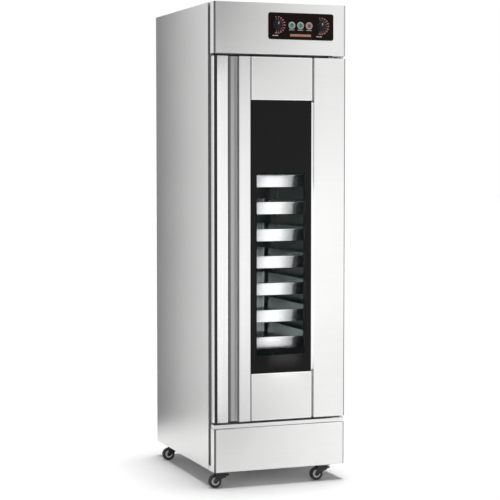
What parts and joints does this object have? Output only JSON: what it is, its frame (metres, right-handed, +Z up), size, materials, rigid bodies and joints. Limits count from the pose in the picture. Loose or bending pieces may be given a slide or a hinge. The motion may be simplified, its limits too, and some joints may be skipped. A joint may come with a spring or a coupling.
{
  "type": "proofing cabinet",
  "caption": "Tall stainless proofing cabinet on swivel casters, with a hinged glass door, full-height grip, tray racks, trays, water pan, heater, fan and control panel.",
  "frame": {"origin": "on the floor, under the middle of the cabinet body", "axes": "+X to the right as seen from the front, +Y to the rear, +Z up; the door faces -Y"},
  "size_m": [0.5535, 0.7646, 1.842],
  "materials": {
    "brushed_steel": "satin",
    "liner_steel": "satin",
    "tray_aluminium": "satin",
    "zinc_plate": "satin",
    "insulation": "matte",
    "black_glass": "gloss",
    "gasket_rubber": "matte",
    "black_plastic": "satin",
    "faceplate_print": "satin",
    "collar_plastic": "gloss",
    "green_lens": "gloss",
    "red_lens": "gloss",
    "lamp_glass": "gloss",
    "heater_sheath": "satin",
    "black_steel": "satin",
    "wheel_hub": "gloss",
    "tyre_rubber": "matte"
  },
  "bodies": {
    "cabinet": {"left_side_panel": "brushed_steel", "right_side_panel": "brushed_steel", "rear_panel": "brushed_steel", "top_panel": "brushed_steel", "base_pan": "brushed_steel", "header_panel": "brushed_steel", "lower_front_panel": "brushed_steel", "inner_liner": "liner_steel", "insulation_blanket": "insulation", "left_tray_rack": "liner_steel", "right_tray_rack": "liner_steel", "control_faceplate": "faceplate_print", "control_unit": "collar_plastic", "interior_lamp": "lamp_glass", "water_pan": "liner_steel", "heating_element": "heater_sheath", "fan_motor": "zinc_plate", "duct_cover": "liner_steel", "hinge_bracket_top": "zinc_plate", "hinge_bracket_bottom": "zinc_plate", "cable_gland": "black_plastic", "caster_plate_front_left": "zinc_plate", "caster_plate_front_right": "zinc_plate", "caster_plate_rear_left": "zinc_plate", "caster_plate_rear_right": "zinc_plate"},
    "door": {"door_handle_profile": "brushed_steel", "door_left_stile": "brushed_steel", "door_right_stile": "brushed_steel", "door_top_panel": "brushed_steel", "door_bottom_panel": "brushed_steel", "door_glass": "black_glass", "door_inner_panel": "liner_steel", "door_gasket": "gasket_rubber"},
    "temperature_knob": {"temperature_knob": "black_plastic"},
    "humidity_knob": {"humidity_knob": "black_plastic"},
    "power_button": {"power_button": "green_lens"},
    "humidifier_button": {"humidifier_button": "green_lens"},
    "lamp_button": {"lamp_button": "red_lens"},
    "fan": {"fan_impeller": "black_plastic"},
    "tray_1": {"tray_1": "tray_aluminium"},
    "tray_2": {"tray_2": "tray_aluminium"},
    "tray_3": {"tray_3": "tray_aluminium"},
    "tray_4": {"tray_4": "tray_aluminium"},
    "tray_5": {"tray_5": "tray_aluminium"},
    "tray_6": {"tray_6": "tray_aluminium"},
    "tray_7": {"tray_7": "tray_aluminium"},
    "caster_fork_front_left": {"caster_fork_front_left": "black_steel"},
    "caster_wheel_front_left": {"caster_hub_front_left": "wheel_hub", "caster_tyre_front_left": "tyre_rubber"},
    "brake_pedal_front_left": {"brake_pedal_front_left": "black_plastic"},
    "caster_fork_front_right": {"caster_fork_front_right": "black_steel"},
    "caster_wheel_front_right": {"caster_hub_front_right": "wheel_hub", "caster_tyre_front_right": "tyre_rubber"},
    "brake_pedal_front_right": {"brake_pedal_front_right": "black_plastic"},
    "caster_fork_rear_left": {"caster_fork_rear_left": "black_steel"},
    "caster_wheel_rear_left": {"caster_hub_rear_left": "wheel_hub", "caster_tyre_rear_left": "tyre_rubber"},
    "caster_fork_rear_right": {"caster_fork_rear_right": "black_steel"},
    "caster_wheel_rear_right": {"caster_hub_rear_right": "wheel_hub", "caster_tyre_rear_right": "tyre_rubber"}
  },
  "joints": [
    {"name": "door_hinge", "type": "hinge", "parent": "cabinet", "child": "door", "pos_m": [0.256, -0.353, 0.252], "axis": [0, 0, 1], "range_deg": [0, 115]},
    {"name": "temperature_knob_turn", "type": "hinge", "parent": "cabinet", "child": "temperature_knob", "pos_m": [-0.015, -0.3676, 1.76], "axis": [0, 1, 0], "range_deg": [0, 270]},
    {"name": "humidity_knob_turn", "type": "hinge", "parent": "cabinet", "child": "humidity_knob", "pos_m": [0.165, -0.3676, 1.76], "axis": [0, 1, 0], "range_deg": [0, 270]},
    {"name": "power_button_press", "type": "slide", "parent": "cabinet", "child": "power_button", "axis": [0, 1, 0], "range_m": [0, 0.0025], "stiffness_N_per_m": 400},
    {"name": "humidifier_button_press", "type": "slide", "parent": "cabinet", "child": "humidifier_button", "axis": [0, 1, 0], "range_m": [0, 0.0025], "stiffness_N_per_m": 400},
    {"name": "lamp_button_press", "type": "slide", "parent": "cabinet", "child": "lamp_button", "axis": [0, 1, 0], "range_m": [0, 0.0025], "stiffness_N_per_m": 400},
    {"name": "fan_spin", "type": "hinge", "parent": "cabinet", "child": "fan", "pos_m": [0, 0.3067, 1.446], "axis": [0, 1, 0], "continuous": true},
    {"name": "tray_1_slide", "type": "slide", "parent": "cabinet", "child": "tray_1", "axis": [0, -1, 0], "range_m": [0, 0.02]},
    {"name": "tray_2_slide", "type": "slide", "parent": "cabinet", "child": "tray_2", "axis": [0, -1, 0], "range_m": [0, 0.02]},
    {"name": "tray_3_slide", "type": "slide", "parent": "cabinet", "child": "tray_3", "axis": [0, -1, 0], "range_m": [0, 0.02]},
    {"name": "tray_4_slide", "type": "slide", "parent": "cabinet", "child": "tray_4", "axis": [0, -1, 0], "range_m": [0, 0.02]},
    {"name": "tray_5_slide", "type": "slide", "parent": "cabinet", "child": "tray_5", "axis": [0, -1, 0], "range_m": [0, 0.02]},
    {"name": "tray_6_slide", "type": "slide", "parent": "cabinet", "child": "tray_6", "axis": [0, -1, 0], "range_m": [0, 0.02]},
    {"name": "tray_7_slide", "type": "slide", "parent": "cabinet", "child": "tray_7", "axis": [0, -1, 0], "range_m": [0, 0.02]},
    {"name": "caster_swivel_front_left", "type": "hinge", "parent": "cabinet", "child": "caster_fork_front_left", "pos_m": [-0.233, -0.338, 0.0559], "axis": [0, 0, 1], "continuous": true},
    {"name": "caster_wheel_front_left", "type": "hinge", "parent": "caster_fork_front_left", "child": "caster_wheel_front_left", "pos_m": [-0.258, -0.338, 0.0255], "axis": [0, 1, 0], "continuous": true},
    {"name": "brake_pedal_front_left", "type": "hinge", "parent": "caster_fork_front_left", "child": "brake_pedal_front_left", "pos_m": [-0.222, -0.338, 0.0434], "axis": [0, 1, 0], "range_deg": [0, 18]},
    {"name": "caster_swivel_front_right", "type": "hinge", "parent": "cabinet", "child": "caster_fork_front_right", "pos_m": [0.186, -0.338, 0.0559], "axis": [0, 0, 1], "continuous": true},
    {"name": "caster_wheel_front_right", "type": "hinge", "parent": "caster_fork_front_right", "child": "caster_wheel_front_right", "pos_m": [0.161, -0.338, 0.0255], "axis": [0, 1, 0], "continuous": true},
    {"name": "brake_pedal_front_right", "type": "hinge", "parent": "caster_fork_front_right", "child": "brake_pedal_front_right", "pos_m": [0.197, -0.338, 0.0434], "axis": [0, 1, 0], "range_deg": [0, 18]},
    {"name": "caster_swivel_rear_left", "type": "hinge", "parent": "cabinet", "child": "caster_fork_rear_left", "pos_m": [-0.233, 0.249, 0.0559], "axis": [0, 0, 1], "continuous": true},
    {"name": "caster_wheel_rear_left", "type": "hinge", "parent": "caster_fork_rear_left", "child": "caster_wheel_rear_left", "pos_m": [-0.258, 0.249, 0.0255], "axis": [0, 1, 0], "continuous": true},
    {"name": "caster_swivel_rear_right", "type": "hinge", "parent": "cabinet", "child": "caster_fork_rear_right", "pos_m": [0.186, 0.249, 0.0559], "axis": [0, 0, 1], "continuous": true},
    {"name": "caster_wheel_rear_right", "type": "hinge", "parent": "caster_fork_rear_right", "child": "caster_wheel_rear_right", "pos_m": [0.161, 0.249, 0.0255], "axis": [0, 1, 0], "continuous": true}
  ]
}
